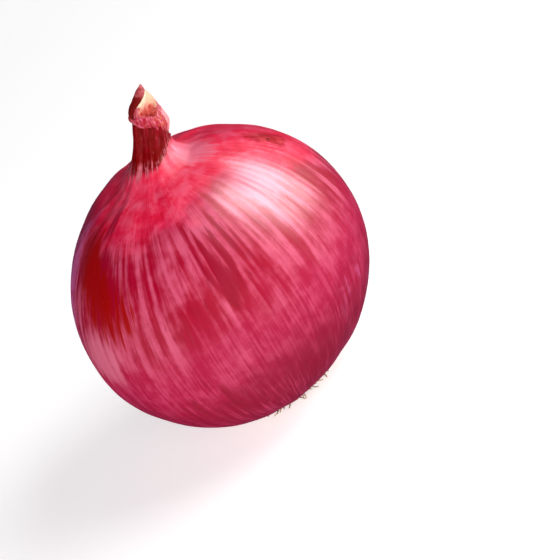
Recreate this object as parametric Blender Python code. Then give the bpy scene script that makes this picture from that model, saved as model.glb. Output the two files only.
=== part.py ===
"""A whole red onion, dry and cured, standing on its trimmed root plate.

The bulb, its neck and its root plate grew as one piece, so they are one solid. A turned
profile is spun about +Z for the bulb, pleated rings carry it on into a neck that leans
towards +X and is drawn to a point on its other side, and the whole is pushed a little out
of round.

Metres, +Z up from the root plate to the neck, origin at the centre of the flat root plate.
"""

import math

import bmesh
import bpy
from mathutils import Vector

# Bulb
BULB_RADIUS = 0.040
EQUATOR_HEIGHT = 0.0365
CROWN_RISE = 0.0362  # equator to where the upper curve would close
BASE_DROP = 0.0363  # equator to where the lower curve would close
CROWN_FULLNESS = 2.11  # superellipse exponents: 2 is an ellipse, more is squarer
BASE_FULLNESS = 1.92
OUT_OF_ROUND = 0.012  # share of the radius, as an oval
OVAL_TURN = math.radians(64)
CROWN_DRIFT = Vector((0.0038, 0.0018, 0.0))  # how far the crown stands off the root plate's centre

# Root plate, the small flat spot that the onion rests on
PLATE_RADIUS = 0.0080
PLATE_EDGE = 0.0005
PLATE_CREASE = 0.0010  # radial width of the crease between the plate and the skin

# Neck
NECK_RADIUS = 0.00485
NECK_LENGTH = 0.0233
NECK_LEAN = math.radians(31.5)
NECK_FLATNESS = 0.88  # depth over width
PLEATS = 7
PLEAT_DEPTH = 0.055  # share of the neck radius
TAPER_POWER = 3.0  # how late the neck is drawn in to its tip
TIP_RADIUS = 0.0004
TIP_OFFSET = 0.00265  # how far the tip stands off the neck's centre line, against the lean
FILLET_WIDTH = 0.0065  # radial width of the fillet where the crown turns up into the neck
FILLET_REACH = 0.0084  # how far along the neck the fillet goes
FILLET_CORNER = 0.0020  # height over the crown of the corner that the fillet rounds off

# Faceting
SEGMENTS = 56
BASE_RINGS = 13
CROWN_RINGS = 13
FILLET_RINGS = 6
NECK_RINGS = 9


def clear_scene():
    for obj in list(bpy.data.objects):
        bpy.data.objects.remove(obj, do_unlink=True)


def superellipse_height(radius, rise, fullness):
    """Height over the equator of the bulb's surface at this radius."""
    return rise * (1 - (radius / BULB_RADIUS) ** fullness) ** (1 / fullness)


def root_plate_profile():
    """A flat disc with a rounded edge, then a crease up to the skin."""
    return [
        (0.0, 0.0),
        (PLATE_RADIUS * 0.5, 0.0),
        (PLATE_RADIUS - PLATE_EDGE, 0.0),
        (PLATE_RADIUS, PLATE_EDGE),
    ]


def bulb_profile():
    """The lower curve from the root plate to the equator, then the upper one to the fillet's edge."""
    points = []
    start = math.asin((PLATE_RADIUS + PLATE_CREASE) / BULB_RADIUS)
    for i in range(BASE_RINGS):
        turn = start + (math.pi / 2 - start) * i / BASE_RINGS
        radius = BULB_RADIUS * math.sin(turn)
        drop = superellipse_height(radius, BASE_DROP, BASE_FULLNESS)
        points.append((radius, EQUATOR_HEIGHT - drop))
    end = math.asin((NECK_RADIUS + FILLET_WIDTH) / BULB_RADIUS)
    for i in range(CROWN_RINGS + 1):
        turn = math.pi / 2 + (math.pi / 2 - end) * i / CROWN_RINGS
        radius = min(BULB_RADIUS * math.sin(turn), BULB_RADIUS)
        rise = superellipse_height(radius, CROWN_RISE, CROWN_FULLNESS)
        points.append((radius, EQUATOR_HEIGHT + rise))
    return points


def neck_start():
    """Where the neck's centre line leaves the crown."""
    return Vector((0, 0, EQUATOR_HEIGHT + superellipse_height(NECK_RADIUS, CROWN_RISE, CROWN_FULLNESS)))


def along_neck():
    return Vector((math.sin(NECK_LEAN), 0, math.cos(NECK_LEAN)))


def neck_point(angle, distance):
    """A point on the pleated neck, this far along its centre line."""
    share = max(0.0, (distance - FILLET_REACH) / (NECK_LENGTH - FILLET_REACH))
    radius = NECK_RADIUS + (TIP_RADIUS - NECK_RADIUS) * share ** TAPER_POWER
    radius *= 1 + PLEAT_DEPTH * math.cos(PLEATS * angle)
    across = Vector((math.cos(NECK_LEAN), 0, -math.sin(NECK_LEAN)))
    sideways = across * (radius * math.cos(angle) - TIP_OFFSET * smooth_step(share, 0, 1))
    depth = Vector((0, radius * NECK_FLATNESS * math.sin(angle), 0))
    return neck_start() + along_neck() * distance + sideways + depth


def fillet_point(angle, share):
    """A quadratic curve from the crown to the neck, round a corner low on the neck's side."""
    edge = NECK_RADIUS + FILLET_WIDTH
    rise = superellipse_height(edge, CROWN_RISE, CROWN_FULLNESS)
    start = Vector((edge * math.cos(angle), edge * math.sin(angle), EQUATOR_HEIGHT + rise))
    end = neck_point(angle, FILLET_REACH)
    back = (end.z - neck_start().z - FILLET_CORNER) / along_neck().z
    corner = end - along_neck() * back
    return start * (1 - share) ** 2 + corner * 2 * share * (1 - share) + end * share ** 2


def spin_profile(points):
    """A mesh turned about Z from (radius, height) pairs, the first of them on the axis."""
    mesh = bmesh.new()
    verts = [mesh.verts.new((radius, 0.0, height)) for radius, height in points]
    edges = [mesh.edges.new(pair) for pair in zip(verts, verts[1:])]
    bmesh.ops.spin(
        mesh,
        geom=verts + edges,
        cent=(0, 0, 0),
        axis=(0, 0, 1),
        angle=math.tau,
        steps=SEGMENTS,
        use_merge=True,
    )
    bmesh.ops.remove_doubles(mesh, verts=mesh.verts, dist=1e-6)
    return mesh


def add_ring(mesh, points):
    """Joins a ring of points to the mesh's open edge, and returns the ring's vertices."""
    open_edge = [edge for edge in mesh.edges if edge.is_boundary]
    verts = [mesh.verts.new(point) for point in points]
    ring = [mesh.edges.new(pair) for pair in zip(verts, verts[1:] + verts[:1])]
    bmesh.ops.bridge_loops(mesh, edges=open_edge + ring)
    return verts


def add_neck(mesh):
    """Rings up the fillet, then up the neck, closed at the tip."""
    angles = [math.tau * i / SEGMENTS for i in range(SEGMENTS)]
    for i in range(1, FILLET_RINGS + 1):
        add_ring(mesh, [fillet_point(angle, i / FILLET_RINGS) for angle in angles])
    for i in range(1, NECK_RINGS + 1):
        distance = FILLET_REACH + (NECK_LENGTH - FILLET_REACH) * i / NECK_RINGS
        last = add_ring(mesh, [neck_point(angle, distance) for angle in angles])
    middle = sum((vert.co for vert in last), Vector()) / len(last)
    tip = mesh.verts.new(middle + along_neck() * TIP_RADIUS)
    for pair in zip(last, last[1:] + last[:1]):
        mesh.faces.new((*pair, tip))


def smooth_step(value, low, high):
    t = min(1.0, max(0.0, (value - low) / (high - low)))
    return t * t * (3 - 2 * t)


def push_out_of_round(point):
    """An oval bulb, its crown a little to one side of the root plate."""
    angle = math.atan2(point.y, point.x)
    belly = smooth_step(point.z, 0.0, EQUATOR_HEIGHT * 0.5)
    swell = 1 + OUT_OF_ROUND * belly * math.cos(2 * (angle - OVAL_TURN))
    crown = EQUATOR_HEIGHT + CROWN_RISE
    drift = CROWN_DRIFT * min(1.0, point.z / crown)
    return Vector((point.x * swell, point.y * swell, point.z)) + drift


def skin_material():
    material = bpy.data.materials.new("dry_red_skin")
    material.use_nodes = True
    shader = material.node_tree.nodes["Principled BSDF"]
    shader.inputs["Base Color"].default_value = (0.42, 0.015, 0.05, 1.0)
    shader.inputs["Roughness"].default_value = 0.35
    shader.inputs["Metallic"].default_value = 0.0
    return material


def make_onion():
    shape = spin_profile(root_plate_profile() + bulb_profile())
    add_neck(shape)
    for vert in shape.verts:
        vert.co = push_out_of_round(vert.co)
    bmesh.ops.recalc_face_normals(shape, faces=shape.faces)
    data = bpy.data.meshes.new("onion")
    shape.to_mesh(data)
    shape.free()
    data.shade_smooth()
    data.set_sharp_from_angle(angle=math.radians(40))
    data.materials.append(skin_material())
    onion = bpy.data.objects.new("onion", data)
    bpy.context.scene.collection.objects.link(onion)
    return onion


def main():
    clear_scene()
    make_onion()


main()
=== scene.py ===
import math

import bmesh
import bpy
import numpy as np
from mathutils import Matrix, Vector


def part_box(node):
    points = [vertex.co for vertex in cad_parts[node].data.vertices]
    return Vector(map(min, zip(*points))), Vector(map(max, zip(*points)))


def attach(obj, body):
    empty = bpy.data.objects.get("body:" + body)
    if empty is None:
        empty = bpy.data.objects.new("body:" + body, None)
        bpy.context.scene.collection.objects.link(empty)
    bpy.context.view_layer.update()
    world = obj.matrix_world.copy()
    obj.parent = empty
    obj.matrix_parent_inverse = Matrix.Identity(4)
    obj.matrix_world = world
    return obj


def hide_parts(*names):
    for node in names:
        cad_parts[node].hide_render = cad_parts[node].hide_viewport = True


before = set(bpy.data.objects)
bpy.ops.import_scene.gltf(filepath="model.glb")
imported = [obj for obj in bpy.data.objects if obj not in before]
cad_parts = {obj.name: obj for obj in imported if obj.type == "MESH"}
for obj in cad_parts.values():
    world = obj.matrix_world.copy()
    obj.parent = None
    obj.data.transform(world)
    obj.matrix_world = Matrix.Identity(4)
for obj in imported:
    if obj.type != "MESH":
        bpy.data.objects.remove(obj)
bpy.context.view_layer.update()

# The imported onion's width gives the bulb's radius, and mm is one millimetre on a bulb of 40 mm radius,
# so the shapes below follow the part if it is packed at another size.
onionLow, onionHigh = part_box("onion")
bulbRadius = (onionHigh.x - onionLow.x + onionHigh.y - onionLow.y) / 4
mm = bulbRadius / 40

bulb = {
    "radius": 40.0,
    "equator": 36.5,  # height of the widest ring
    "crownRise": 36.2,  # equator to where the upper curve would close
    "baseDrop": 36.3,
    "crownFullness": 2.11,  # superellipse exponents, 2 is an ellipse
    "baseFullness": 1.92,
    "oval": 0.012,
    "ovalTurn": 64.0,
}
neck = {
    "radius": 4.85,
    "lean": 31.5,
    "flatness": 0.88,
    "waist": 12.0,  # how far up the neck the sheath is narrowest
    "waistDraw": 0.035,  # how much narrower it is there, as a share
    "foldDepth": 0.035,  # also as shares of the radius
    "fineFoldDepth": 0.022,
    "sheathShift": 0.4,  # how far the sheath stands off the neck's centre line, towards the lean
    "sheathRadius": 4.7,
    "filletWidth": 6.5,
    "filletReach": 8.4,  # how far along the neck the fillet from the crown goes
    "filletCorner": 2.0,  # height over the crown of the corner that the fillet rounds off
}
equatorTop = bulb["equator"] + bulb["crownRise"]
crownDrift = (onionLow + onionHigh) / 2 / mm * (equatorTop / bulb["equator"])


def smoothStep(value, start, end):
    # 0 before start, 1 after end, with an S-curve between
    t = np.clip((value - start) / (end - start), 0, 1)
    return t * t * (3 - 2 * t)


def mix(a, b, share):
    # a at share 0, b at share 1
    return a + (b - a) * share


def waves(angle, along, counts, seed, wander):
    # sum of cosines round the onion with whole wave counts, so it closes on itself; each wave has its own
    # height and start and wanders sideways with the distance along the skin, and the sum's rms is about 1
    draw = np.random.default_rng(seed)
    total = 0
    power = 0
    for count in counts:
        height = draw.uniform(0.5, 1)
        start = draw.uniform(0, 2 * math.pi)
        slide = draw.normal(0, wander)
        swing = draw.uniform(0, 2 * math.pi)
        total = total + height * np.cos(count * angle + start + slide * np.sin(along * 2.2 + swing))
        power = power + height ** 2 / 2
    return total / math.sqrt(power)


def roundCurve(angle, atAngles, heights):
    # smooth closed curve through a few heights, as periodic cubic pieces with slopes from the neighbours
    knots = np.radians(np.array(atAngles, float))
    values = np.array(heights, float)
    wide = np.concatenate([knots - 2 * math.pi, knots, knots + 2 * math.pi])
    tall = np.tile(values, 3)
    slope = np.gradient(tall, wide)
    at = np.mod(angle, 2 * math.pi)
    i = np.clip(np.searchsorted(wide, at) - 1, 0, len(wide) - 2)
    gap = wide[i + 1] - wide[i]
    t = (at - wide[i]) / gap
    return (
        tall[i] * (1 + 2 * t) * (1 - t) ** 2 + slope[i] * gap * t * (1 - t) ** 2
        + tall[i + 1] * t * t * (3 - 2 * t) + slope[i + 1] * gap * t * t * (t - 1)
    )


def superellipse(radius, rise, fullness):
    # height over the equator: rise * (1 - (r / R)^n)^(1/n)
    inside = np.clip(1 - (radius / bulb["radius"]) ** fullness, 0, 1)
    return rise * inside ** (1 / fullness)


def crownLevel():
    # height at which the neck's centre line leaves the crown
    return bulb["equator"] + superellipse(neck["radius"], bulb["crownRise"], bulb["crownFullness"])


leanAngle = math.radians(neck["lean"])
alongNeck = np.array([math.sin(leanAngle), 0, math.cos(leanAngle)])
acrossNeck = np.array([math.cos(leanAngle), 0, -math.sin(leanAngle)])
behindNeck = np.array([0, 1, 0])


def neckPoint(angle, distance, radius, aside=0.0):
    # a flattened circle round the neck's centre line, which is straight and leans towards +X
    across = radius * np.cos(angle) + aside
    behind = radius * np.sin(angle) * neck["flatness"]
    point = across[..., None] * acrossNeck + behind[..., None] * behindNeck
    point = point + distance[..., None] * alongNeck
    point[..., 2] += crownLevel()
    return point


def filletPoint(angle, share, end):
    # quadratic curve from the crown, past a corner low on the neck's side, up to a point on the neck
    edge = neck["radius"] + neck["filletWidth"]
    rise = superellipse(edge, bulb["crownRise"], bulb["crownFullness"])
    level = 0 * angle + bulb["equator"] + rise
    start = np.stack([edge * np.cos(angle), edge * np.sin(angle), level], axis=-1)
    back = (end[..., 2] - crownLevel() - neck["filletCorner"]) / alongNeck[2]
    corner = end - back[..., None] * alongNeck
    t = share[..., None]
    return start * (1 - t) ** 2 + corner * 2 * t * (1 - t) + end * t ** 2


def place(points):
    # swells the belly into an oval, lets the crown drift off the root plate, and turns mm to metres
    x, y, z = points[..., 0], points[..., 1], points[..., 2]
    angle = np.arctan2(y, x)
    belly = smoothStep(z, 0, bulb["equator"] * 0.5)
    swell = 1 + bulb["oval"] * belly * np.cos(2 * (angle - math.radians(bulb["ovalTurn"])))
    share = np.minimum(z / equatorTop, 1)
    return np.stack([x * swell + crownDrift.x * share, y * swell + crownDrift.y * share, z], axis=-1) * mm


def closedGrid(name, points):
    # a quad between each two neighbours of each two rows; every row closes on itself
    rows, columns = points.shape[:2]
    index = np.arange(rows * columns).reshape(rows, columns)
    following = np.roll(index, -1, axis=1)
    quads = np.stack([index[:-1], following[:-1], following[1:], index[1:]], axis=-1).reshape(-1, 4)
    mesh = bpy.data.meshes.new(name)
    mesh.from_pydata(points.reshape(-1, 3), [], quads.tolist())
    piece = bpy.data.objects.new(name, mesh)
    bpy.context.scene.collection.objects.link(piece)
    return piece


def addAttribute(piece, name, kind, values):
    # a number or a vector for each vertex
    attribute = piece.data.attributes.new(name, kind, "POINT")
    field = "vector" if kind == "FLOAT_VECTOR" else "value"
    attribute.data.foreach_set(field, np.asarray(values, np.float32).ravel())


def addFlow(piece, angle, along):
    # where a pattern is: the angle as a point on a unit circle, and the distance along the surface
    addAttribute(piece, "flow", "FLOAT_VECTOR", np.stack([np.cos(angle), np.sin(angle), along], axis=-1))


def finishMesh(piece):
    # merges points that meet, as at a pole, turns the faces outwards and shades them smooth
    work = bmesh.new()
    work.from_mesh(piece.data)
    bmesh.ops.remove_doubles(work, verts=work.verts, dist=2e-6)
    bmesh.ops.recalc_face_normals(work, faces=work.faces)
    work.to_mesh(piece.data)
    work.free()
    piece.data.shade_smooth()
    print(piece.name, len(piece.data.polygons), "faces")
    return piece


def rideOnRoot(piece, finish):
    piece.data.materials.append(finish)
    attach(piece, "root")


# outer skin: bulb and torn neck sheath in one surface

skin = {
    "around": 600,
    "lowerRings": 48,
    "upperRings": 50,
    "filletRings": 18,
    "neckRings": 16,
    "rootEdge": 9.0,  # radius at which the skin ends beside the root plate
    "rimAngles": (0, 30, 60, 90, 135, 180, 210, 240, 270, 300, 330, 345),
    "rimHeights": (8.6, 8.7, 9.4, 10.5, 11.2, 11.6, 12.2, 12.3, 12.3, 11.7, 9.9, 8.8),
    "lowestRim": 8.5,
    "rimTear": 0.20,
    "wall": 0.25,
    "plugDepth": 3.0,
    "dentHeight": 0.26,
    "rippleHeight": 0.07,
    "ribHeight": 0.018,
    "foldHeight": 0.05,
    "rootFoldHeight": 0.10,
    "shoulderDent": 0.8,
    "shoulderAngle": 200,  # which way the flat shoulder faces, in degrees
    "bareAngle": -12,  # which way the neck's foot stays bare of the dry sheath for longer
    "scar": (350, 2.20),  # angle, and distance from the root in bulb radii
    "speck": (348, 2.213),
    # patches, as angle, skin distance from the root, half width, half length, slant and strength:
    # angle and half width are in degrees, distance and half length in bulb radii, slant in degrees a radius
    "patches": (  # deep red
        (203, 2.18, 19, 0.38, -45, 1.0),
        (332, 1.95, 7, 0.26, 20, 0.6),
        (48, 2.10, 13, 0.32, -20, 0.8),
        (104, 1.92, 8, 0.28, 15, 0.6),
        (146, 1.60, 6, 0.26, 0, 0.5),
    ),
    "paintedShadeDusks": (  # dark crimson; the second and third are painted shade, on the crown's unlit side and low near the root
        (274, 2.05, 15, 0.32, 0, 0.85),
        (200, 2.56, 18, 0.18, 0, 0.7),
        (240, 1.15, 20, 0.22, 10, 0.5),
        (70, 2.20, 14, 0.25, 0, 0.6),
    ),
    "paintedSheenViolets": (  # violet; the first is painted sheen along the rim away from the lamps
        (166, 1.95, 20, 0.60, 0, 1.0),
        (84, 1.55, 16, 0.35, 0, 0.5),
        (310, 1.20, 18, 0.25, 0, 0.4),
    ),
    "paintedHighlightBlooms": (  # pale; the second and third are painted highlight, on the lit crown and at the neck's foot
        (200, 1.68, 16, 0.24, 0, 0.9),
        (314, 2.24, 26, 0.28, 0, 0.8),
        (338, 2.72, 30, 0.20, 0, 1.0),
        (120, 1.75, 15, 0.30, 0, 0.8),
        (20, 1.50, 18, 0.30, 0, 0.8),
    ),
}


def skinProfile():
    # radius and height of each row, from the middle of the root end to the fillet's edge
    edge = skin["rootEdge"]
    radius = [0.0, edge * 0.5, edge - 1.2, edge - 0.5]
    height = [1.5, 1.4, 1.15, 0.95]
    first = math.asin(edge / bulb["radius"])
    low = np.linspace(first, math.pi / 2, skin["lowerRings"], endpoint=False)
    lowRadius = bulb["radius"] * np.sin(low)
    lowHeight = bulb["equator"] - superellipse(lowRadius, bulb["baseDrop"], bulb["baseFullness"])
    last = math.pi - math.asin((neck["radius"] + neck["filletWidth"]) / bulb["radius"])
    high = np.linspace(math.pi / 2, last, skin["upperRings"])
    highRadius = bulb["radius"] * np.sin(high)
    highHeight = bulb["equator"] + superellipse(highRadius, bulb["crownRise"], bulb["crownFullness"])
    return np.concatenate([radius, lowRadius, highRadius]), np.concatenate([height, lowHeight, highHeight])


def neckFolds(angle, distance):
    # sideways folds of the dried neck, as a share of its radius, turning slowly as they rise
    turned = angle + 0.05 * distance
    deep = waves(turned, distance * 0.12, [4, 5, 7], 11, 0.5)
    fine = waves(turned, distance * 0.15, [11, 13, 17, 23], 12, 0.8)
    return neck["foldDepth"] * deep + neck["fineFoldDepth"] * fine


def sheathRadius(distance):
    # the neck's radius, drawn in a little between the fillet and the torn rim
    drawn = neck["waistDraw"] * smoothStep(distance, neck["filletReach"], neck["waist"])
    return neck["sheathRadius"] * (1 - drawn)


def sheathRim(angle):
    # the sheath's torn rim: a smooth closed curve with a ragged edge
    rag = waves(angle, 0, [5, 8, 13, 21, 34, 55], 21, 0)
    rim = roundCurve(angle, skin["rimAngles"], skin["rimHeights"]) + skin["rimTear"] * rag
    return np.maximum(rim, skin["lowestRim"])


def skinPatches(patches, angle, travel):
    # the strongest of the slanted ovals, each fading from its middle to 0 at 1.5 times its half width
    found = 0 * angle
    for middle, level, wide, long, slant, strength in patches:
        turned = np.degrees(angle) - middle - slant * (travel - level)
        turned = (turned + 180) % 360 - 180
        away = np.hypot(turned / wide, (travel - level) / long)
        found = np.maximum(found, strength * smoothStep(away, 1.5, 0.1))
    return found


def makeSkin():
    # the turned profile pushed in and out by waves, then the fillet, the sheath and its inside, row by row
    radius, height = skinProfile()
    angle = np.arange(skin["around"]) / skin["around"] * 2 * math.pi
    along = np.concatenate([[0], np.cumsum(np.hypot(np.diff(radius), np.diff(height)))])
    a, travel = np.meshgrid(angle, along / bulb["radius"])
    r, z = radius[:, None] + 0 * a, height[:, None] + 0 * a
    outR, outZ = np.gradient(height, along)[:, None], -np.gradient(radius, along)[:, None]
    upper = z > bulb["equator"]
    body = smoothStep(r, 9, 16) * (1 - 0.6 * (1 - upper) * smoothStep(r, 26, 10))
    push = skin["dentHeight"] * waves(a, travel, [2, 3, 5, 6], 31, 0.5) * body
    push += skin["rippleHeight"] * waves(a, travel, [9, 11, 14, 19], 32, 0.9) * body
    crowding = (r / bulb["radius"]) ** 2  # the ribs get lower where they crowd together
    push += skin["ribHeight"] * waves(a, travel, range(60, 110, 3), 33, 2.0) * body * crowding
    crownFolds = waves(a, travel, [7, 9, 12, 15, 19], 34, 0.6)
    push += skin["foldHeight"] * upper * smoothStep(r, 26, 12) * crownFolds
    rootFolds = waves(a, travel, [11, 15, 22, 29, 37], 35, 0.6)
    push += skin["rootFoldHeight"] * (1 - upper) * smoothStep(r, 22, 10) * rootFolds
    side = smoothStep(np.cos(a - math.radians(skin["shoulderAngle"])), 0.2, 1)
    push -= skin["shoulderDent"] * upper * side * smoothStep(r, 25, 14)
    push *= smoothStep(travel, 0.22, 0.27)
    r, z = r + outR * push, z + outZ * push
    bulbRows = np.stack([r * np.cos(a), r * np.sin(a), z], axis=-1)
    # the fillet starts from the last bulb row, so that the crown's dents fade into it
    t, a2 = np.meshgrid(np.linspace(0, 1, skin["filletRings"] + 1)[1:], angle, indexing="ij")
    reach = neck["filletReach"] + 0 * a2
    end = neckPoint(a2, reach, neck["sheathRadius"] * (1 + neckFolds(a2, reach)), neck["sheathShift"])
    filletRows = filletPoint(a2, t, end)
    filletRows += (bulbRows[-1:] - filletPoint(angle, 0 * angle, end[0])[None]) * (1 - t[..., None]) ** 2
    # the neck's rows follow the torn rim, fold over it and run down inside to a plug; the plug's last row
    # keeps the rim's uneven heights, so it closes along a short line and not at one spot
    up, a3 = np.meshgrid(np.arange(1, skin["neckRings"] + 1) / skin["neckRings"], angle, indexing="ij")
    rim = sheathRim(angle)[None]
    upHeight = mix(neck["filletReach"], rim, up)
    upRadius = sheathRadius(upHeight) * (1 + neckFolds(a3, upHeight))
    down, a4 = np.meshgrid([0.0, 0.05, 0.2, 0.5, 1.0], angle, indexing="ij")
    downHeight = rim - 0.03 - skin["plugDepth"] * down
    thickness = skin["wall"] * (0.4 + 0.6 * down)
    downRadius = sheathRadius(downHeight) * (1 + neckFolds(a4, downHeight)) - thickness
    plug, a5 = np.meshgrid([0.5, 0.0], angle, indexing="ij")
    plugHeight = downHeight[-1:] + 0 * a5
    neckAngle = np.concatenate([a3, a4, a5])
    neckHeight = np.concatenate([upHeight, downHeight, plugHeight])
    neckRound = np.concatenate([upRadius, downRadius, downRadius[-1:] * plug])
    neckRows = neckPoint(neckAngle, neckHeight, neckRound, neck["sheathShift"])
    points = place(np.concatenate([bulbRows, filletRows, neckRows]))
    piece = closedGrid("outer_skin", points)
    # attributes for the patterns: where on the skin, how far into the dry neck, inside the rim, and patches
    top = along[-1] / bulb["radius"]
    filletTravel = top + t * 0.25
    neckTravel = top + 0.25 + (neckHeight - neck["filletReach"]) / bulb["radius"]
    travel = np.concatenate([travel, filletTravel, neckTravel])
    allAngles = np.concatenate([a, a2, neckAngle])
    addFlow(piece, allAngles, travel)
    # the dry sheath starts higher on the side that faces the bare angle
    leaning = smoothStep(np.cos(a2 - math.radians(skin["bareAngle"])), 0.35, 0.95)
    dryFillet = smoothStep(t, 0.1 + 0.42 * leaning, 0.75 + 0.30 * leaning)
    dry = np.concatenate([0 * a, dryFillet, 1 + 0 * neckAngle])
    addAttribute(piece, "dry", "FLOAT", dry)
    inner = np.zeros(dry.shape)
    inner[-len(down) - len(plug):] = 1
    addAttribute(piece, "inside", "FLOAT", inner)
    kinds = {"patch": "patches", "paintedShadeDusk": "paintedShadeDusks", "paintedSheenViolet": "paintedSheenViolets", "paintedHighlightBloom": "paintedHighlightBlooms"}
    for name, key in kinds.items():
        addAttribute(piece, name, "FLOAT", skinPatches(skin[key], allAngles, travel))
    return finishMesh(piece)


class Value:
    # a socket whose sums and products become Math nodes
    def __init__(self, tree, socket):
        self.tree = tree
        self.socket = socket

    def maths(self, operation, *others, swap=False):
        made = self.tree.nodes.new("ShaderNodeMath")
        made.operation = operation
        terms = [self, *others]
        if swap:
            terms.reverse()
        for socket, term in zip(made.inputs, terms):
            connect(self.tree, term, socket)
        return Value(self.tree, made.outputs[0])

    def __add__(self, other):
        return self.maths("ADD", other)

    def __sub__(self, other):
        return self.maths("SUBTRACT", other)

    def __mul__(self, other):
        return self.maths("MULTIPLY", other)

    def __rsub__(self, other):
        return self.maths("SUBTRACT", other, swap=True)

    __radd__ = __add__
    __rmul__ = __mul__


def connect(tree, term, socket):
    # links a Value to the socket, or sets a plain number, vector or colour on it
    if isinstance(term, Value):
        tree.links.new(term.socket, socket)
    elif hasattr(term, "__len__") and socket.type == "RGBA" and len(term) == 3:
        socket.default_value = (*term, 1.0)
    else:
        socket.default_value = term


class Finish:
    # one material: its nodes are made by node(), and shader() sets the Principled BSDF
    def __init__(self, name):
        self.material = bpy.data.materials.new(name)
        self.material.use_nodes = True
        self.tree = self.material.node_tree
        self.principled = self.tree.nodes["Principled BSDF"]

    def node(self, kind, settings=None, values=None, output=0):
        made = self.tree.nodes.new(kind)
        for key, value in (settings or {}).items():
            setattr(made, key, value)
        for key, value in (values or {}).items():
            connect(self.tree, value, made.inputs[key])
        return Value(self.tree, made.outputs[output])

    def attribute(self, name, output=2):
        # output 2 is a number, 1 a vector
        return self.node("ShaderNodeAttribute", {"attribute_name": name}, output=output)

    def stretch(self, vector, scale):
        # the vector with each part multiplied
        return self.node("ShaderNodeVectorMath", {"operation": "MULTIPLY"}, {0: vector, 1: scale})

    def noise(self, vector, scale=1.0, detail=2.0, roughness=0.5, distortion=0.0):
        values = {"Vector": vector, "Scale": scale, "Detail": detail, "Roughness": roughness}
        values["Distortion"] = distortion
        return self.node("ShaderNodeTexNoise", {}, values)

    def ramp(self, value, low, high, start=0.0, end=1.0):
        # smooth change from start to end as value goes from low to high
        settings = {"interpolation_type": "SMOOTHSTEP"}
        values = {"Value": value, "From Min": low, "From Max": high, "To Min": start, "To Max": end}
        return self.node("ShaderNodeMapRange", settings, values)

    def blend(self, share, under, over):
        # from the colour under to the colour over
        return self.node("ShaderNodeMix", {"data_type": "RGBA"}, {0: share, 6: under, 7: over}, output=2)

    def near(self, flow, degrees, travel, scale):
        # distance from a spot on the skin, in bulb radii, with each part scaled
        turn = math.radians(degrees)
        target = (math.cos(turn) * scale[0], math.sin(turn) * scale[1], travel * scale[2])
        values = {0: self.stretch(flow, scale), 1: target}
        return self.node("ShaderNodeVectorMath", {"operation": "DISTANCE"}, values, output=1)

    def bump(self, height, distance, strength=1.0, under=None):
        values = {"Height": height, "Distance": distance, "Strength": strength}
        if under is not None:
            values["Normal"] = under
        return self.node("ShaderNodeBump", {}, values)

    def shader(self, **sockets):
        for key, value in sockets.items():
            connect(self.tree, value, self.principled.inputs[key.replace("_", " ")])
        return self.material


skinColour = {
    "crimson": (0.36, 0.000, 0.022),
    "streak": (0.60, 0.080, 0.154),
    "dash": (0.30, 0.000, 0.016),
    "crown": (0.74, 0.008, 0.052),
    "crownPale": (0.78, 0.070, 0.140),
    "crownDeep": (0.56, 0.000, 0.018),
    "deep": (0.35, 0.000, 0.000),
    "paintedShadeDusk": (0.28, 0.000, 0.018),
    "low": (0.42, 0.000, 0.045),
    "lowPale": (0.53, 0.030, 0.102),
    "paintedHighlightBloom": (0.66, 0.145, 0.225),
    "paintedSheenViolet": (0.60, 0.125, 0.330),
    "root": (0.26, 0.000, 0.022),
    "straw": (0.50, 0.290, 0.170),
    "maroon": (0.17, 0.000, 0.000),
    "ember": (0.34, 0.000, 0.014),
    "fleck": (0.52, 0.085, 0.110),
    "foot": (0.62, 0.150, 0.190),
    "inside": (0.50, 0.160, 0.130),
    "scar": (0.33, 0.000, 0.004),
    "rust": (0.50, 0.024, 0.010),
    "speck": (0.015, 0.002, 0.002),
}


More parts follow.
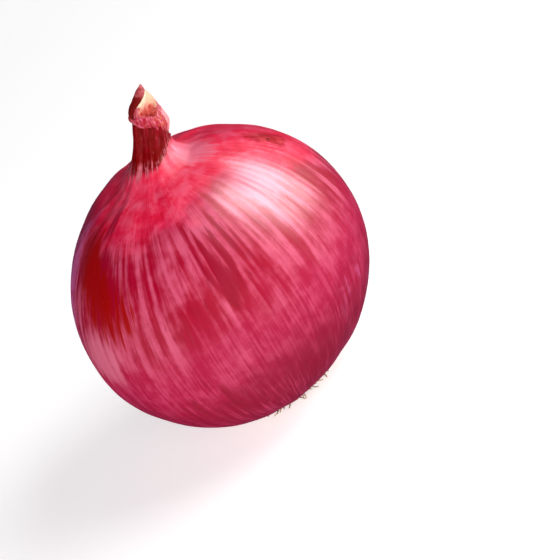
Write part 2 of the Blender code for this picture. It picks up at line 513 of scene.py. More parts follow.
def skinFinish():
    make = Finish("dry_red_skin_finish")
    flow = make.attribute("flow", 1)
    spot = make.node("ShaderNodeTexCoord", output=3)
    dry = make.attribute("dry")
    patch = make.attribute("patch")
    paintedHighlightBloom = make.attribute("paintedHighlightBloom")
    paintedShadeDusk = make.attribute("paintedShadeDusk")
    paintedSheenViolet = make.attribute("paintedSheenViolet")
    inside = make.attribute("inside")
    travel = make.node("ShaderNodeSeparateXYZ", {}, {0: flow}, output=2)
    broad = make.noise(make.stretch(flow, (18, 18, 1.9)), 1, 0.9, 0.5, 0.3)
    thin = make.noise(make.stretch(flow, (66, 66, 3.4)), 1, 1.2, 0.55, 0.3)
    dash = make.noise(make.stretch(flow, (58, 58, 10)), 1, 1, 0.5)
    cloud = make.noise(spot, 110, 3, 0.55)
    mottle = make.noise(spot, 300, 3, 0.6)
    # crimson ground with soft pale streaks and short dark dashes round the belly
    soft = 0.5 * (cloud - 0.5)
    bellyEnd = make.ramp(travel + 0.5 * (broad - 0.5) + 0.3 * soft, 2.58, 2.35)
    belly = make.ramp(travel + soft, 1.35, 1.85) * bellyEnd
    combed = broad + 0.25 * (thin - 0.5) + 0.5 * (cloud - 0.5) + 0.3 * (mottle - 0.5)
    streak = make.ramp(combed, 0.36, 0.74)
    colour = make.blend(streak, skinColour["crimson"], skinColour["streak"])
    dashed = make.ramp(dash + 0.4 * (0.5 - broad), 0.58, 0.72) * make.ramp(travel, 1.45, 1.8)
    colour = make.blend(dashed * 0.6, colour, skinColour["dash"])
    plain = make.blend(make.ramp(mottle + 0.9 * (thin - 0.5) + 0.6 * (cloud - 0.5), 0.30, 0.78),
                       skinColour["low"], skinColour["lowPale"])
    colour = make.blend(belly, plain, colour)
    # smoother, redder crown, which reaches lower on the side that the neck leans to
    leaning = make.node("ShaderNodeSeparateXYZ", {}, {0: flow})
    crown = make.ramp(travel + soft + 0.5 * make.ramp(leaning, 0.5, 1.0), 2.32, 2.54)
    blotch = make.ramp(mottle + 0.8 * (cloud - 0.5) + 0.4 * (thin - 0.5), 0.40, 0.76)
    top = make.blend(blotch, skinColour["crown"], skinColour["crownPale"])
    deepened = make.ramp(mottle + 0.5 * (thin - 0.5), 0.44, 0.26)
    top = make.blend(deepened * 0.7, top, skinColour["crownDeep"])
    colour = make.blend(crown * 0.95, colour, top)
    # pale patches, two of them painted highlight; dark patches with combed edges, two of them painted
    # shade; and the root end, darkened with painted shade
    # pale patches; the ones on the lit crown and at the neck's foot are painted highlight
    pale = make.ramp(paintedHighlightBloom + 0.9 * (broad - 0.5) + 0.6 * (mottle - 0.5), 0.25, 0.9)
    colour = make.blend(pale * make.ramp(paintedHighlightBloom, 0, 0.3) * 0.8, colour, skinColour["paintedHighlightBloom"])
    # violet tint; along the rim away from the lamps it is painted sheen
    ragged = paintedSheenViolet + 1.2 * (broad - 0.5) + 1.0 * (mottle - 0.5) + 0.8 * (thin - 0.5)
    tinted = make.ramp(ragged, 0.3, 0.95)
    colour = make.blend(tinted * make.ramp(paintedSheenViolet, 0, 0.3) * 0.92, colour, skinColour["paintedSheenViolet"])
    # dark crimson patches; on the crown's unlit side and low near the root they are painted shade
    paintedShadeDusky = make.ramp(paintedShadeDusk + 2.2 * (0.5 - broad) + 1.2 * (thin - 0.5) + 0.8 * (mottle - 0.5), 0.45, 0.80)
    colour = make.blend(paintedShadeDusky * make.ramp(paintedShadeDusk, 0, 0.3) * 0.85, colour, skinColour["paintedShadeDusk"])
    stain = make.ramp(patch + 1.7 * (broad - 0.5) + 1.1 * (thin - 0.5), 0.30, 0.80)
    colour = make.blend(stain * make.ramp(patch, 0, 0.25), colour, skinColour["deep"])
    # painted shade: the skin darkens towards the root end, where the bulb turns under towards the floor
    lower = make.ramp(travel + 0.4 * (thin - 0.5) + soft, 1.60, 0.95)
    colour = make.blend(lower * 0.88, colour, skinColour["root"])
    lines = make.ramp(thin + 0.5 * (broad - 0.5) + 0.25 * (1.0 - travel), 0.52, 0.74)
    colour = make.blend(lines * make.ramp(travel, 1.4, 0.9) * 0.6, colour, skinColour["lowPale"])
    rootward = make.ramp(travel + 0.6 * (thin - 0.5) + 0.2 * soft, 0.55, 0.26)
    colour = make.blend(rootward, colour, skinColour["straw"])
    # a rubbed scar on top with a black speck
    scar = make.near(flow, *skin["scar"], (1, 1, 0.62))
    scarred = make.ramp(scar + 0.22 * (mottle - 0.5) + 0.12 * (thin - 0.5), 0.13, 0.05)
    rubbed = make.blend(make.ramp(mottle, 0.45, 0.62), skinColour["scar"], skinColour["rust"])
    colour = make.blend(scarred * 0.8, colour, rubbed)
    speck = make.ramp(make.near(flow, *skin["speck"], (1, 1, 1)), 0.016, 0.009)
    colour = make.blend(speck, colour, skinColour["speck"])
    # dark dry sheath with pale flecks, breaking into pale strands at its foot
    strand = make.noise(make.stretch(flow, (14, 14, 4.5)), 1, 2, 0.6)
    chip = make.noise(spot, 1000, 2, 0.5)
    chipped = make.ramp(chip + 0.5 * (strand - 0.5), 0.68, 0.76) * 0.75
    glow = make.ramp(strand + 0.5 * (mottle - 0.5), 0.52, 0.66)
    sheath = make.blend(glow * 0.6, skinColour["maroon"], skinColour["ember"])
    sheath = make.blend(chipped, sheath, skinColour["fleck"])
    foot = make.ramp(dry, 0.15, 0.5) * make.ramp(dry, 0.98, 0.7)
    strip = foot * make.ramp(strand + 0.3 * (chip - 0.5), 0.47, 0.60)
    reach = make.ramp(dry + 0.9 * (strand - 0.5), 0.30, 0.62)
    colour = make.blend(reach, colour, sheath)
    colour = make.blend(strip * 0.8, colour, skinColour["foot"])
    colour = make.blend(inside, colour, skinColour["inside"])
    duller = 0.16 * make.ramp(travel, 2.58, 2.75) * (1 - reach)  # the skin beside the neck, not the sheath
    rough = 0.33 + 0.04 * thin + 0.06 * mottle + duller - 0.10 * reach
    # the lines crowd together towards the crown, so they get lower there
    crowding = make.ramp(travel, 1.9, 2.7, 1.0, 0.12)
    bump = make.bump((0.6 * thin + 0.4 * broad) * crowding, 0.04 * mm, 0.25)
    bump = make.bump(mottle, 0.05 * mm, 0.3, bump)
    return make.shader(
        Base_Color=colour,
        Roughness=rough,
        Normal=bump,
        Specular_IOR_Level=0.5,
        Sheen_Weight=0.03,
        Sheen_Roughness=0.35,
        Sheen_Tint=(0.65, 0.25, 1.0),
    )


onionSkin = makeSkin()
rideOnRoot(onionSkin, skinFinish())
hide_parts("onion")


# dried leaves that stand out of the torn sheath

tipLeaf = {
    "around": 340,
    "rings": 70,
    # edges of the leaf left and right of the neck's centre line, at heights along the neck
    "levels": (7, 11.8, 12.6, 13.4, 14, 15, 16, 18, 20, 21, 22.3),
    "leftEdge": (-3.3, -3.9, -4.75, -5.0, -5.05, -5.15, -4.95, -4.2, -3.45, -2.85, -2.1),
    "rightEdge": (4.6, 4.9, 4.75, 4.4, 4.05, 3.4, 2.8, 1.7, 0.2, -0.7, -1.85),
    "rimAngles": (0, 60, 120, 180, 205, 214, 220, 224, 228, 233, 245, 270, 295, 306, 313, 320, 328, 342),
    "rimHeights": (22.3, 22.3, 22.3, 22.3, 22.2, 21.9, 20.6, 18.6, 16.6, 15.5, 15.0, 14.9,
                   15.0, 15.8, 17.6, 20.0, 21.6, 22.2),
    "rimTear": 0.10,
    "twist": 3.2,  # degrees, times the height over the twist's start to the twist's power
    "twistFrom": 15.0,
    "twistPower": 1.9,
    "edge": 0.25,  # how far the cut face lies below its rim
    "dish": 0.7,  # how deep the cut face is in the middle
    "middle": 14.4,  # how far along the neck the middle of the cut face lies
    "capRings": 30,
    "curlHeight": 0.08,  # low spiral ridges on the cut face
    "curlTurns": 3.2,
    "creaseDepth": 0.022,  # share of the leaf's radius
    "fineCreaseDepth": 0.014,
    "foldShadeAngle": 166,  # where the fold's painted shade runs down, in degrees
    "edgeAngle": 224,  # where the pale edge runs down
}
wrapLeaf = {
    "around": 320,
    "rings": 26,
    "outset": 0.22,
    "rimAngles": (0, 45, 90, 135, 180, 215, 240, 270, 300, 330),
    "rimHeights": (15.8, 15.8, 14.6, 13.6, 13.2, 14.0, 14.9, 14.9, 14.7, 15.3),
    "rimTear": 0.22,
    "wall": 0.20,
    "depth": 3.0,
    "opens": (10.0, 12.5),  # heights between which it comes to stand off the tip leaf
    "paleAngle": 5,  # which way its papery side faces, in degrees
}


def smoothCurve(at, places, values):
    # smooth open curve through a few values, as cubic pieces with slopes from the neighbours
    knots = np.array(places, float)
    tall = np.array(values, float)
    slope = np.gradient(tall, knots)
    i = np.clip(np.searchsorted(knots, at) - 1, 0, len(knots) - 2)
    gap = knots[i + 1] - knots[i]
    t = np.clip((at - knots[i]) / gap, 0, 1)
    return (
        tall[i] * (1 + 2 * t) * (1 - t) ** 2 + slope[i] * gap * t * (1 - t) ** 2
        + tall[i + 1] * t * t * (3 - 2 * t) + slope[i + 1] * gap * t * t * (t - 1)
    )


def leafPoint(angle, distance, share, outset=0.0):
    # share 1 is the leaf's wall and 0 its middle, halfway between its left and right edges
    left = smoothCurve(distance, tipLeaf["levels"], tipLeaf["leftEdge"])
    right = smoothCurve(distance, tipLeaf["levels"], tipLeaf["rightEdge"])
    radius = np.maximum((right - left) / 2, 0.15) * share + outset
    return neckPoint(angle, distance, radius, (left + right) / 2)


def leafFolds(angle, distance, seed):
    # long creases of a dried leaf, as a share of its radius
    deep = waves(angle, distance * 0.1, [3, 5, 6], seed, 0.4)
    fine = waves(angle, distance * 0.12, [12, 17, 21, 28], seed + 1, 0.8)
    return tipLeaf["creaseDepth"] * deep + tipLeaf["fineCreaseDepth"] * fine


def makeTipLeaf():
    # a rolled leaf that narrows to the tip; its rim drops in front, and the cut face fills it to its middle
    around = np.arange(tipLeaf["around"]) / tipLeaf["around"] * 2 * math.pi
    start = tipLeaf["levels"][0]
    rim = roundCurve(around, tipLeaf["rimAngles"], tipLeaf["rimHeights"])
    rim = rim + tipLeaf["rimTear"] * waves(around, 0, [9, 14, 23, 37], 51, 0) * smoothStep(rim, 22, 19)
    up, a = np.meshgrid(np.linspace(0, 1, tipLeaf["rings"]), around, indexing="ij")
    height = mix(start, rim[None], up)
    above = np.clip(height - tipLeaf["twistFrom"], 0, None)
    turned = a + np.radians(tipLeaf["twist"]) * above ** tipLeaf["twistPower"]
    outer = leafPoint(turned, height, 1 + leafFolds(a, height, 52))
    w, a2 = np.meshgrid(np.linspace(0, 1, tipLeaf["capRings"] + 1)[1:] ** 1.3, around, indexing="ij")
    middle = leafPoint(0 * around[:1], np.array([tipLeaf["middle"]]), 0)
    face = mix(outer[-1:], middle[None], w[..., None])
    curl = tipLeaf["curlHeight"] * np.cos(2 * math.pi * tipLeaf["curlTurns"] * w + 2 * a2)
    curl = curl * smoothStep(w, 0, 0.2) * smoothStep(w, 1, 0.85)
    sink = tipLeaf["edge"] * smoothStep(w, 0, 0.10) + tipLeaf["dish"] * smoothStep(w, 0, 0.7) + curl
    face = face - sink[..., None] * alongNeck
    bottom = leafPoint(around, 0 * around + start, 0)
    piece = closedGrid("tip_leaf", place(np.concatenate([bottom[None], outer, face])))
    shape = (1 + len(outer) + len(face), len(around))
    allAngles = np.concatenate([turned[:1], turned, np.broadcast_to(turned[-1:], face.shape[:2])])
    along = np.concatenate([height[:1], height, mix(height[-1:], tipLeaf["middle"], w)])
    addFlow(piece, allAngles, along / 10)
    cut = np.zeros(shape)
    cut[1 + len(outer):] = 1
    addAttribute(piece, "cut", "FLOAT", cut)
    # the fold's painted shade down the leaf's left side, and the pale edge between it and the cut
    flat = np.broadcast_to(around, shape)
    side = smoothStep(np.cos(flat - math.radians(tipLeaf["foldShadeAngle"])), 0.60, 0.74)
    foldShade = side * smoothStep(along, 13.2, 14.2) * smoothStep(along, 21.2, 17.4) * (1 - cut)
    addAttribute(piece, "foldShade", "FLOAT", foldShade)
    front = smoothStep(np.cos(flat - math.radians(tipLeaf["edgeAngle"])), 0.955, 0.985)
    edge = front * smoothStep(along, 21.5, 20.0) * smoothStep(along, 15.8, 18.2)
    addAttribute(piece, "edge", "FLOAT", edge)
    return finishMesh(piece)


def makeWrapLeaf():
    # a short torn tube between the sheath and the tip leaf, closed inside along its uneven last row
    around = np.arange(wrapLeaf["around"]) / wrapLeaf["around"] * 2 * math.pi
    start = tipLeaf["levels"][0]
    rim = roundCurve(around, wrapLeaf["rimAngles"], wrapLeaf["rimHeights"])
    rim = rim + wrapLeaf["rimTear"] * waves(around, 0, [7, 11, 18, 29, 41], 61, 0)
    up, a = np.meshgrid(np.linspace(0, 1, wrapLeaf["rings"]), around, indexing="ij")
    height = mix(start, rim[None], up)
    outset = wrapLeaf["outset"] * smoothStep(height, *wrapLeaf["opens"])
    outer = leafPoint(a, height, 1 + leafFolds(a, height, 62), outset)
    down, a2 = np.meshgrid([0.0, 0.1, 0.4, 1.0], around, indexing="ij")
    downHeight = rim[None] - 0.02 - wrapLeaf["depth"] * down
    inset = wrapLeaf["outset"] * smoothStep(downHeight, *wrapLeaf["opens"]) - wrapLeaf["wall"]
    inner = leafPoint(a2, downHeight, 1 + leafFolds(a2, downHeight, 62), inset)
    bottom = leafPoint(around, 0 * around + start, 0)[None]
    plug = leafPoint(around, downHeight[-1], 0)[None]
    points = np.concatenate([bottom, outer, inner, plug])
    piece = closedGrid("wrap_leaf", place(points))
    allAngles = np.broadcast_to(around, points.shape[:2])
    along = np.concatenate([height[:1], height, downHeight, downHeight[-1:]])
    addFlow(piece, allAngles, along / 10)
    # the pale papery side towards the lean
    pale = smoothStep(np.cos(allAngles - math.radians(wrapLeaf["paleAngle"])), 0.66, 0.90)
    addAttribute(piece, "pale", "FLOAT", pale)
    return finishMesh(piece)


leafColour = {
    "outer": (0.42, 0.035, 0.050),
    "tip": (0.32, 0.034, 0.034),
    "pink": (0.62, 0.170, 0.200),
    "foldShade": (0.17, 0.002, 0.002),
    "cream": (0.88, 0.68, 0.47),
    "peach": (0.80, 0.30, 0.24),
    "coral": (0.68, 0.110, 0.085),
    "rust": (0.36, 0.016, 0.014),
    "magenta": (0.40, 0.006, 0.036),
    "mauve": (0.62, 0.130, 0.180),
    "orange": (0.55, 0.120, 0.040),
    "paper": (0.76, 0.300, 0.320),
}


def tipLeafFinish():
    make = Finish("tip_leaf_finish")
    flow = make.attribute("flow", 1)
    cut = make.attribute("cut")
    foldShade = make.attribute("foldShade")
    edge = make.attribute("edge")
    spot = make.node("ShaderNodeTexCoord", output=3)
    height = make.node("ShaderNodeSeparateXYZ", {}, {0: flow}, output=2)
    fibre = make.noise(make.stretch(flow, (9, 9, 3)), 1, 3, 0.6)
    blot = make.noise(spot, 800, 3, 0.65, 0.8)
    blotch = make.noise(spot, 460, 2, 0.6, 0.5)
    grain = make.noise(spot, 1900, 2, 0.6)
    outer = make.blend(make.ramp(fibre, 0.42, 0.62), leafColour["outer"], leafColour["pink"])
    upper = make.ramp(height + 0.3 * (fibre - 0.5), 1.75, 1.95)
    tipMottle = make.ramp(0.5 * fibre + 0.5 * blot, 0.46, 0.60)
    tipTone = make.blend(tipMottle, leafColour["tip"], leafColour["pink"])
    outer = make.blend(upper, outer, tipTone)
    # painted shade of the fold: a near-black red with a few flecks of the outer colour
    dark = make.blend(make.ramp(grain, 0.62, 0.70) * 0.6, leafColour["foldShade"], leafColour["outer"])
    outer = make.blend(make.ramp(edge + 0.5 * (fibre - 0.5), 0.3, 0.7), outer, leafColour["cream"])
    foldShadeShare = make.ramp(foldShade + 0.9 * (fibre - 0.5) + 0.4 * (grain - 0.5), 0.3, 0.6)
    outer = make.blend(foldShadeShare, outer, dark)
    ripe = make.ramp(height + 0.6 * (blot - 0.5), 1.86, 1.60)
    face = make.blend(ripe, leafColour["cream"], leafColour["peach"])
    warm = make.ramp(0.8 * blotch + 0.2 * grain + 0.8 * (1.72 - height), 0.50, 0.62)
    face = make.blend(warm * 0.85, face, leafColour["coral"])
    spots = make.ramp(0.7 * blot + 0.3 * grain + 0.5 * (1.58 - height), 0.50, 0.57)
    face = make.blend(spots * 0.85, face, leafColour["rust"])
    colour = make.blend(cut, outer, face)
    bump = make.bump(fibre + 0.3 * grain, 0.12 * mm, 0.6)
    return make.shader(Base_Color=colour, Roughness=0.55, Normal=bump, Specular_IOR_Level=0.3)


def wrapLeafFinish():
    make = Finish("wrap_leaf_finish")
    flow = make.attribute("flow", 1)
    pale = make.attribute("pale")
    spot = make.node("ShaderNodeTexCoord", output=3)
    height = make.node("ShaderNodeSeparateXYZ", {}, {0: flow}, output=2)
    fibre = make.noise(make.stretch(flow, (7, 7, 8)), 1, 3, 0.65, 0.5)
    blot = make.noise(spot, 560, 2, 0.6)
    grain = make.noise(spot, 1300, 2, 0.6)
    colour = make.blend(make.ramp(fibre, 0.42, 0.60), leafColour["magenta"], leafColour["mauve"])
    rusty = make.ramp(blot + 0.3 * (grain - 0.5), 0.51, 0.59)
    colour = make.blend(rusty * 0.85, colour, leafColour["rust"])
    near = make.near(flow, 312, 1.36, (1, 1, 3))
    warm = make.ramp(near, 0.8, 0.3) * make.ramp(grain + 0.5 * (fibre - 0.5), 0.47, 0.57)
    colour = make.blend(warm, colour, leafColour["orange"])
    papery = make.ramp(pale + 0.8 * (fibre - 0.5), 0.30, 0.75) * make.ramp(height, 0.85, 1.0)
    colour = make.blend(papery * 0.9, colour, leafColour["paper"])
    bump = make.bump(fibre + 0.3 * grain, 0.12 * mm, 0.6)
    return make.shader(Base_Color=colour, Roughness=0.6, Normal=bump, Specular_IOR_Level=0.3)


rideOnRoot(makeTipLeaf(), tipLeafFinish())
rideOnRoot(makeWrapLeaf(), wrapLeafFinish())

# root end: corky plate, trimmed roots and the torn skin round them

rootPlate = {
    "around": 240,
    "radii": (0, 1.2, 2.4, 3.6, 4.8, 6.0, 6.9, 7.5, 7.85, 8.0, 7.95, 7.7, 7.1, 6.0, 0),
    "heights": (0, 0, 0, 0, 0, 0, 0.0, 0.08, 0.28, 0.60, 0.95, 1.25, 1.45, 1.55, 1.60),
    "ragged": 0.022,
    "dimple": 0.22,  # how far the old root scars are sunk into the flat face
}
rootStub = {
    "count": 88,
    "rings": 12,
    "sides": 8,
    "thickness": (0.20, 0.36),  # radius where it leaves the plate
    "length": (1.8, 6.0),
    "start": (7.0, 7.7),  # radius at which it leaves the plate
    "level": (0.35, 1.0),  # height there, without its thickness
    "bend": 0.35,
    "sway": 0.25,
    "taper": 0.55,
    "seed": 71,
}
rootCollar = {
    "around": 520,
    "rings": 16,
    "from": 8.3,
    "rim": 12.6,
    "tear": 1.05,
    "tatter": 0.5,
    "crease": 0.05,
    "wall": 0.10,
    "off": 0.16,  # how far it stands off the skin
    "lift": 0.42,  # how far its rim has curled away
}


def makeRootPlate():
    # a turned disc with a ragged edge; small dimples are pressed into its flat underside
    around = np.arange(rootPlate["around"]) / rootPlate["around"] * 2 * math.pi
    steps = np.linspace(0, len(rootPlate["radii"]) - 1, 57)
    radius = np.interp(steps, range(len(rootPlate["radii"])), rootPlate["radii"])
    height = np.interp(steps, range(len(rootPlate["radii"])), rootPlate["heights"])
    a, r = np.meshgrid(around, radius)
    z = height[:, None] + 0 * a
    edge = smoothStep(r, 5.5, 7.8)
    r = r * (1 + rootPlate["ragged"] * waves(a, z * 0.4, [7, 13, 21, 34, 47], 72, 1.0) * edge)
    pits = waves(a, r * 0.45, [5, 9, 14, 19, 26], 73, 6.0) * np.cos(2 * math.pi * r / 1.5)
    z = z + rootPlate["dimple"] * np.clip(pits - 0.25, 0, 1) * (z < 0.05) * smoothStep(r, 0.6, 1.5)
    points = np.stack([r * np.cos(a), r * np.sin(a), z], axis=-1)
    return finishMesh(closedGrid("root_plate", place(points)))


def makeRootStubs():
    # each root is a tapered tube that leaves the plate's edge, bows down to the floor and wanders sideways
    draw = np.random.default_rng(rootStub["seed"])
    count, rings, sides = rootStub["count"], rootStub["rings"], rootStub["sides"]
    turn = (np.arange(count) + draw.uniform(-0.4, 0.4, count)) / count * 2 * math.pi
    thick = draw.uniform(*rootStub["thickness"], count)[:, None]
    length = draw.uniform(*rootStub["length"], count)[:, None]
    bend = draw.normal(0, rootStub["bend"], count)[:, None]
    sway = draw.normal(0, rootStub["sway"], count)[:, None]
    start = draw.uniform(*rootStub["start"], count)[:, None]
    level = draw.uniform(*rootStub["level"], count)[:, None]
    s = np.linspace(0, 1, rings)[None]
    out = start + length * s
    aside = bend * length * s ** 2 + sway * np.sin(2 * math.pi * s)
    taper = 1 - rootStub["taper"] * s
    floorLevel = thick * taper + 0.03
    z = np.maximum(mix(level + thick, floorLevel, smoothStep(s, 0.0, 0.55)), floorLevel)
    across, along = np.cos(turn)[:, None], np.sin(turn)[:, None]
    path = np.stack([out * across - aside * along, out * along + aside * across, z], axis=-1)
    tangent = np.gradient(path, axis=1)
    tangent /= np.linalg.norm(tangent, axis=-1, keepdims=True)
    side = np.cross(tangent, np.array([0, 0, 1.0]))
    side /= np.linalg.norm(side, axis=-1, keepdims=True)
    up = np.cross(side, tangent)
    around = np.arange(sides) / sides * 2 * math.pi
    # the first and last rings shrink to one spot, which closes the ends
    thickness = (thick * taper) * (s > 0) * (s < 1)
    ends = [0, *range(rings), rings - 1]
    thickness = thickness[:, ends]
    thickness[:, 1] = thick[:, 0]
    thickness[:, -2] = thick[:, 0] * taper[0, -1]
    path, side, up = path[:, ends], side[:, ends], up[:, ends]
    ring = np.cos(around)[:, None] * side[:, :, None] + np.sin(around)[:, None] * up[:, :, None]
    points = path[:, :, None] + ring * thickness[:, :, None, None]
    points[..., 2] = np.maximum(points[..., 2], 0.01)
    index = np.arange(points[..., 0].size).reshape(points.shape[:3])
    following = np.roll(index, -1, axis=2)
    quads = np.stack([index[:, :-1], following[:, :-1], following[:, 1:], index[:, 1:]], axis=-1)
    quads = quads.reshape(-1, 4)
    mesh = bpy.data.meshes.new("root_stubs")
    mesh.from_pydata(place(points).reshape(-1, 3), [], quads.tolist())
    piece = bpy.data.objects.new("root_stubs", mesh)
    bpy.context.scene.collection.objects.link(piece)
    shade = np.broadcast_to(draw.uniform(0, 1, count)[:, None, None], points.shape[:3])
    addAttribute(piece, "shade", "FLOAT", shade)
    return finishMesh(piece)


def makeRootCollar():
    # a thin torn skirt under the bulb, which follows the skin's lower curve to a ragged, curled rim
    around = np.arange(rootCollar["around"]) / rootCollar["around"] * 2 * math.pi
    rag = waves(around, 0, [3, 5, 9, 14], 81, 0)
    tatter = waves(around, 0, [23, 37, 52, 71], 82, 0)
    rim = rootCollar["rim"] + rootCollar["tear"] * rag + rootCollar["tatter"] * np.clip(tatter, -1.5, 1.5)
    s, a = np.meshgrid(np.linspace(0, 1, rootCollar["rings"]), around, indexing="ij")
    r = mix(rootCollar["from"], rim[None], s)
    level = bulb["equator"] - superellipse(r, bulb["baseDrop"], bulb["baseFullness"])
    curl = rootCollar["lift"] * (0.6 + 0.4 * waves(a, r * 0.1, [4, 7, 11], 83, 0.6)) * s ** 3
    crease = rootCollar["crease"] * waves(a, r * 0.1, [31, 43, 57], 84, 0.5)
    upper = np.maximum(level - rootCollar["off"] - curl + crease, 0.32)
    lower = upper - rootCollar["wall"]
    radius = np.concatenate([r, r[::-1]])
    height = np.concatenate([upper, lower[::-1]])
    angles = np.concatenate([a, a])
    points = np.stack([radius * np.cos(angles), radius * np.sin(angles), height], axis=-1)
    points = np.concatenate([points, points[:1]])
    piece = closedGrid("root_collar", place(points))
    flow = np.stack([np.cos(angles), np.sin(angles), radius / 40], axis=-1)
    addAttribute(piece, "flow", "FLOAT_VECTOR", np.concatenate([flow, flow[:1]]))
    return finishMesh(piece)


rootColour = {
    "cork": (0.42, 0.27, 0.15),
    "corkDark": (0.16, 0.085, 0.045),
    "stub": (0.66, 0.49, 0.31),
    "stubDark": (0.30, 0.19, 0.11),
    "straw": (0.58, 0.36, 0.20),
    "wine": (0.34, 0.030, 0.060),
}


def corkFinish():
    make = Finish("root_cork_finish")
    spot = make.node("ShaderNodeTexCoord", output=3)
    coarse = make.noise(spot, 600, 4, 0.65)
    grain = make.noise(spot, 2200, 3, 0.6)
    speckle = make.ramp(coarse + 0.4 * (grain - 0.5), 0.36, 0.66)
    colour = make.blend(speckle, rootColour["corkDark"], rootColour["cork"])
    bump = make.bump(coarse + 0.5 * grain, 0.35 * mm, 0.8)
    return make.shader(Base_Color=colour, Roughness=0.85, Normal=bump, Specular_IOR_Level=0.2)


def stubFinish():
    make = Finish("root_stub_finish")
    spot = make.node("ShaderNodeTexCoord", output=3)
    shade = make.attribute("shade")
    grain = make.noise(spot, 1500, 3, 0.6)
    faded = make.ramp(shade + 0.8 * (grain - 0.5), 0.1, 1.0)
    colour = make.blend(faded, rootColour["stubDark"], rootColour["stub"])
    bump = make.bump(grain, 0.12 * mm, 0.7)
    return make.shader(Base_Color=colour, Roughness=0.8, Normal=bump, Specular_IOR_Level=0.2)


def collarFinish():
    make = Finish("root_collar_finish")
    flow = make.attribute("flow", 1)
    fibre = make.noise(make.stretch(flow, (22, 22, 5)), 1, 3, 0.6)
    blot = make.noise(make.stretch(flow, (9, 9, 12)), 1, 2, 0.6)
    dried = make.ramp(fibre + 0.6 * (blot - 0.5), 0.38, 0.66)
    colour = make.blend(dried, rootColour["wine"], rootColour["straw"])
    bump = make.bump(fibre, 0.08 * mm, 0.6)
    return make.shader(Base_Color=colour, Roughness=0.55, Normal=bump, Specular_IOR_Level=0.35)


rideOnRoot(makeRootPlate(), corkFinish())
rideOnRoot(makeRootStubs(), stubFinish())
rideOnRoot(makeRootCollar(), collarFinish())


# floor, lights and camera

studio = {
    "floorSize": 8.0,  # metres
    "floorTone": 0.76,
    "floorGlow": 0.56,  # the floor gives off some light itself, so that it stays near white
    "sweep": (0.12, 0.6),  # metres from the onion's foot over which the floor turns into the backdrop
    "backdropTone": 0.97,  # what the camera sees past the floor
    "dimTone": 0.012,  # what the room adds to the light
}


def makeFloor():
    # a large plane; its paint fades and its glow grows with the distance from the onion
    bpy.ops.mesh.primitive_plane_add(size=studio["floorSize"])
    floor = bpy.context.object
    floor.name = "floor"
    make = Finish("pale_floor")
    away = make.node("ShaderNodeVectorMath", {"operation": "LENGTH"},
                     {0: make.node("ShaderNodeTexCoord", output=3)}, output=1)
    near, far = studio["floorGlow"], studio["backdropTone"]
    glow = make.blend(make.ramp(away, *studio["sweep"]), (near, near, near), (far, far, far))
    tone = studio["floorTone"]
    paint = make.blend(make.ramp(away, *studio["sweep"]), (tone, tone, tone), (0.0, 0.0, 0.0))
    floor.data.materials.append(make.shader(
        Base_Color=paint, Roughness=0.9, Specular_IOR_Level=0.0,
        Emission_Color=glow, Emission_Strength=1.0,
    ))
    floor.visible_glossy = False


def makeWorld():
    # dim to the light, bright to the camera
    world = bpy.data.worlds.new("studio")
    world.use_nodes = True
    tree = world.node_tree
    path = tree.nodes.new("ShaderNodeLightPath")
    tone = tree.nodes.new("ShaderNodeMapRange")
    tone.inputs["To Min"].default_value = studio["dimTone"]
    tone.inputs["To Max"].default_value = studio["backdropTone"]
    tree.links.new(path.outputs["Is Camera Ray"], tone.inputs["Value"])
    tree.links.new(tone.outputs[0], tree.nodes["Background"].inputs["Strength"])
    tree.nodes["Background"].inputs["Color"].default_value = (1, 1, 1, 1)
    bpy.context.scene.world = world


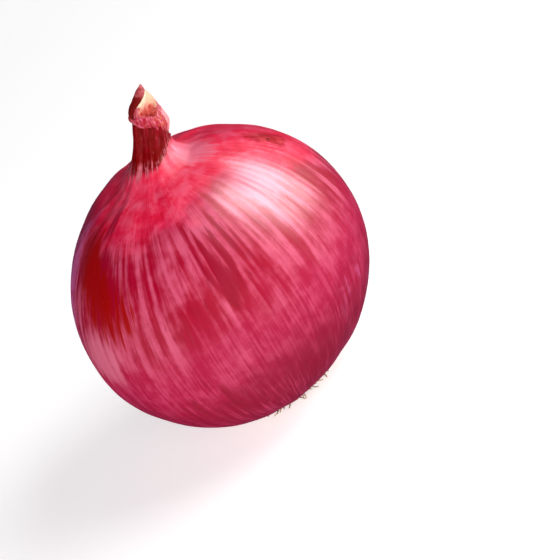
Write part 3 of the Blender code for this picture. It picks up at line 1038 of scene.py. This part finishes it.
def makeLamp(name, toward, distance, size, power, colour=(1, 1, 1), shine=False):
    # a soft box that faces the bulb's middle from the given direction and gives either light or shine
    lamp = bpy.data.lights.new(name, "AREA")
    lamp.shape = "RECTANGLE"
    lamp.size, lamp.size_y = size
    lamp.energy = power
    lamp.color = colour
    holder = bpy.data.objects.new(name, lamp)
    bpy.context.scene.collection.objects.link(holder)
    direction = Vector(toward).normalized()
    holder.location = bulbCentre + direction * distance
    holder.rotation_mode = "QUATERNION"
    holder.rotation_quaternion = direction.to_track_quat("Z", "Y")
    holder.visible_camera = False
    holder.visible_glossy = shine
    holder.visible_diffuse = not shine


onionMiddle = (onionLow + onionHigh) / 2
bulbCentre = Vector((onionMiddle.x, onionMiddle.y, bulb["equator"] * mm))

camera = {
    "elevation": 26.3,
    "roll": 35.7,
    "distance": 18.75,  # in bulb radii
    "right": 0.383,  # how far right of the bulb's middle the camera aims, in bulb radii
    "up": -0.020,
    "fill": 0.2775,  # the bulb's radius as a share of the picture's width
}


def makeCamera():
    # in front of the bulb and above it, rolled about its own axis, aimed a little to one side
    tilt = math.radians(camera["elevation"])
    roll = math.radians(camera["roll"])
    back = Vector((0, -math.cos(tilt), math.sin(tilt)))
    level = Vector((1, 0, 0))
    upright = back.cross(level)
    right = level * math.cos(roll) - upright * math.sin(roll)
    up = level * math.sin(roll) + upright * math.cos(roll)
    eye = bulbCentre + back * camera["distance"] * bulbRadius
    aim = bulbCentre + (right * camera["right"] + up * camera["up"]) * bulbRadius
    forward = (aim - eye).normalized()
    side = forward.cross(up).normalized()
    above = side.cross(forward)
    data = bpy.data.cameras.new("camera")
    data.sensor_width = 36
    data.lens = data.sensor_width * camera["fill"] * camera["distance"]
    data.clip_start = 0.01
    data.clip_end = 20
    holder = bpy.data.objects.new("camera", data)
    bpy.context.scene.collection.objects.link(holder)
    holder.matrix_world = Matrix.Translation(eye) @ Matrix((side, above, -forward)).transposed().to_4x4()
    bpy.context.scene.camera = holder


makeFloor()
makeWorld()
makeLamp("key_light", (0.78, -0.25, 0.57), 0.75, (0.6, 0.5), 6.4)
makeLamp("front_fill", (-0.1, -0.9, 0.35), 1.2, (0.8, 0.8), 8)
makeLamp("left_fill", (-0.9, -0.4, 0.1), 1.2, (0.8, 0.8), 9.5, (1.0, 0.85, 1.0))
makeLamp("shine_box", (0.80, -0.02, 0.60), 0.75, (0.30, 0.90), 16, (1.0, 0.93, 0.95), shine=True)
makeCamera()
print("floor, lights and camera are in place")
bpy.context.scene.view_settings.view_transform = "Standard"
